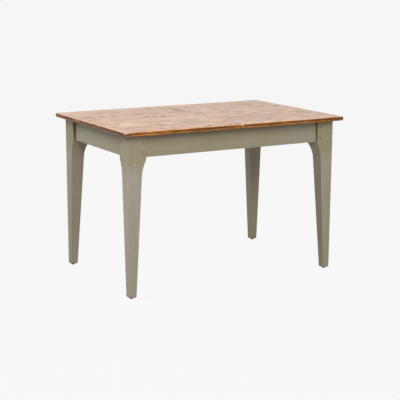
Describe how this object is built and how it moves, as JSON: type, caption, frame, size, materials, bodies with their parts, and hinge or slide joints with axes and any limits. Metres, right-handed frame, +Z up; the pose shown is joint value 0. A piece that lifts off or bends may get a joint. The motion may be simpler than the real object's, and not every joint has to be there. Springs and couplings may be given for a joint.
{
  "type": "extending kitchen table",
  "caption": "Extending kitchen table: a plank top in sliding halves on a painted frame with flared, tapering legs, pegged aprons and a leaf stored under the top.",
  "frame": {"origin": "on the floor, under the centre of the closed top", "axes": "+X along the table's length to the right, +Y from the front to the back, +Z up"},
  "size_m": [1.2, 0.8, 0.775],
  "materials": {
    "painted_frame": "brushed sage grey-green paint, matt, lightly worn at the edges",
    "plank_top": "waxed reclaimed pine boards with knots and dark marks",
    "peg_wood": "bare hardwood end grain",
    "bare_wood": "planed, unpainted",
    "glide": "dark matt",
    "screw_steel": "zinc plated",
    "catch_steel": "bright pressed steel"
  },
  "bodies": {
    "frame": {"leg_front_left": "painted_frame", "leg_front_right": "painted_frame", "leg_back_left": "painted_frame", "leg_back_right": "painted_frame", "apron_front": "painted_frame", "apron_back": "painted_frame", "apron_left": "painted_frame", "apron_right": "painted_frame", "tenon_pegs": "peg_wood", "foot_glides": "glide", "corner_block_front_left": "bare_wood", "corner_block_front_right": "bare_wood", "corner_block_back_left": "bare_wood", "corner_block_back_right": "bare_wood", "corner_screws": "screw_steel", "guide_rail_front": "bare_wood", "guide_rail_back": "bare_wood", "bearer_left": "bare_wood", "bearer_right": "bare_wood", "rail_screws": "screw_steel", "leaf_board_1": "plank_top", "leaf_board_2": "plank_top", "leaf_board_3": "plank_top", "leaf_board_4": "plank_top", "leaf_board_5": "plank_top", "leaf_board_6": "plank_top", "leaf_cleat_front": "bare_wood", "leaf_cleat_back": "bare_wood", "leaf_screws": "screw_steel", "leaf_dowels": "bare_wood"},
    "left_top": {"left_board_1": "plank_top", "left_board_2": "plank_top", "left_board_3": "plank_top", "left_board_4": "plank_top", "left_board_5": "plank_top", "left_board_6": "plank_top", "left_cleat_inner": "bare_wood", "left_cleat_outer": "bare_wood", "left_slide_bar_front": "bare_wood", "left_slide_bar_back": "bare_wood", "left_cleat_screws": "screw_steel", "left_bar_screws": "screw_steel", "seam_dowels": "bare_wood", "catch_pivots": "catch_steel"},
    "right_top": {"right_board_1": "plank_top", "right_board_2": "plank_top", "right_board_3": "plank_top", "right_board_4": "plank_top", "right_board_5": "plank_top", "right_board_6": "plank_top", "right_cleat_inner": "bare_wood", "right_cleat_outer": "bare_wood", "right_slide_bar_front": "bare_wood", "right_slide_bar_back": "bare_wood", "right_cleat_screws": "screw_steel", "right_bar_screws": "screw_steel", "catch_posts": "catch_steel"},
    "catch_hook_front": {"catch_hook_front": "catch_steel"},
    "catch_hook_back": {"catch_hook_back": "catch_steel"}
  },
  "joints": [
    {"name": "left_top_slide", "type": "slide", "parent": "frame", "child": "left_top", "axis": [-1, 0, 0], "range_m": [0, 0.2]},
    {"name": "right_top_slide", "type": "slide", "parent": "frame", "child": "right_top", "axis": [1, 0, 0], "range_m": [0, 0.2]},
    {"name": "front_catch_turn", "type": "hinge", "parent": "left_top", "child": "catch_hook_front", "pos_m": [-0.025, -0.3005, 0.7475], "axis": [0, 0, -1], "range_deg": [0, 90]},
    {"name": "back_catch_turn", "type": "hinge", "parent": "left_top", "child": "catch_hook_back", "pos_m": [-0.025, 0.3005, 0.7475], "axis": [0, 0, 1], "range_deg": [0, 90]}
  ]
}
